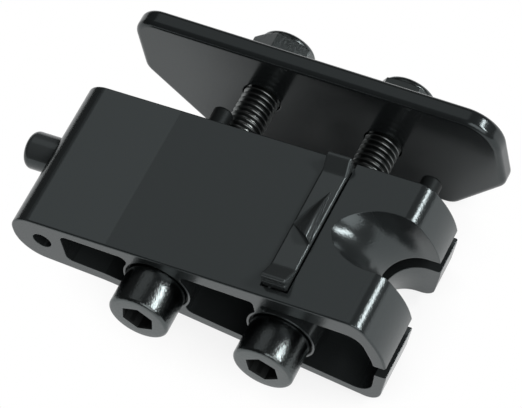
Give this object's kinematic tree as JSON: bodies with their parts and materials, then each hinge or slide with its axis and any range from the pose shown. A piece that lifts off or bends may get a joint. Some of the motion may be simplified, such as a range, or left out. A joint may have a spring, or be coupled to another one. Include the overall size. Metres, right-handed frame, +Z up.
{
  "type": "bike lock bracket",
  "caption": "Lock carrier that clamps to a bar with long socket-head bolts and a backing plate, with a shackle notch, a sprung nose plunger and a catch strip on top.",
  "frame": {"origin": "on the housing's back face, the seat against the clamped bar, midway between the two bolt axes", "axes": "+X along the housing from the nose to the shackle notch; +Y along the bolts from their heads to the clamp plate; +Z up, square to the top face"},
  "size_m": [0.0925, 0.0708, 0.0347],
  "materials": {
    "housing": "satin black moulding",
    "strip": "smooth black moulding",
    "plunger": "blackened steel, satin",
    "pin": "plain steel",
    "spring": "drawn spring wire",
    "bolt": "glossy blackened steel",
    "plate": "glossy black coating",
    "nut": "glossy blackened steel",
    "insert": "black plastic locking ring",
    "bumper": "black rubber"
  },
  "bodies": {
    "base": {"housing": "housing", "plunger_pin": "pin", "plunger_spring": "spring", "bumper_left": "bumper", "bumper_right": "bumper"},
    "plunger": {"plunger": "plunger"},
    "catch": {"catch_strip": "strip"},
    "bolt_left": {"bolt_left": "bolt"},
    "bolt_right": {"bolt_right": "bolt"},
    "clamp": {"clamp_plate": "plate", "nut_left": "nut", "nut_right": "nut", "nut_insert_left": "insert", "nut_insert_right": "insert"}
  },
  "joints": [
    {"name": "clamp_slide", "type": "slide", "parent": "base", "child": "clamp", "axis": [0, -1, 0], "range_m": [0, 0.00875]},
    {"name": "bolt_left_turn", "type": "hinge", "parent": "base", "child": "bolt_left", "pos_m": [-0.0135, 0, 0.00195], "axis": [0, 1, 0], "range_deg": [0, 2520]},
    {"name": "bolt_right_turn", "type": "hinge", "parent": "base", "child": "bolt_right", "pos_m": [0.0135, 0, -0.00195], "axis": [0, 1, 0], "range_deg": [0, 2520]},
    {"name": "plunger_slide", "type": "slide", "parent": "base", "child": "plunger", "axis": [1, 0, 0], "range_m": [0, 0.004], "stiffness_N_per_m": 600, "springref_m": -0.006, "deforming": ["plunger_spring"]},
    {"name": "catch_press", "type": "hinge", "parent": "base", "child": "catch", "pos_m": [0.0131, -0.0032, 0.0101], "axis": [1, 0, 0], "range_deg": [0, 3], "stiffness_Nm_per_rad": 0.3, "springref_deg": -1.72}
  ],
  "couplings": [
    {"joint": "bolt_left_turn", "follows": "clamp_slide", "rad_per_m": 5026.5},
    {"joint": "bolt_right_turn", "follows": "clamp_slide", "rad_per_m": 5026.5}
  ]
}
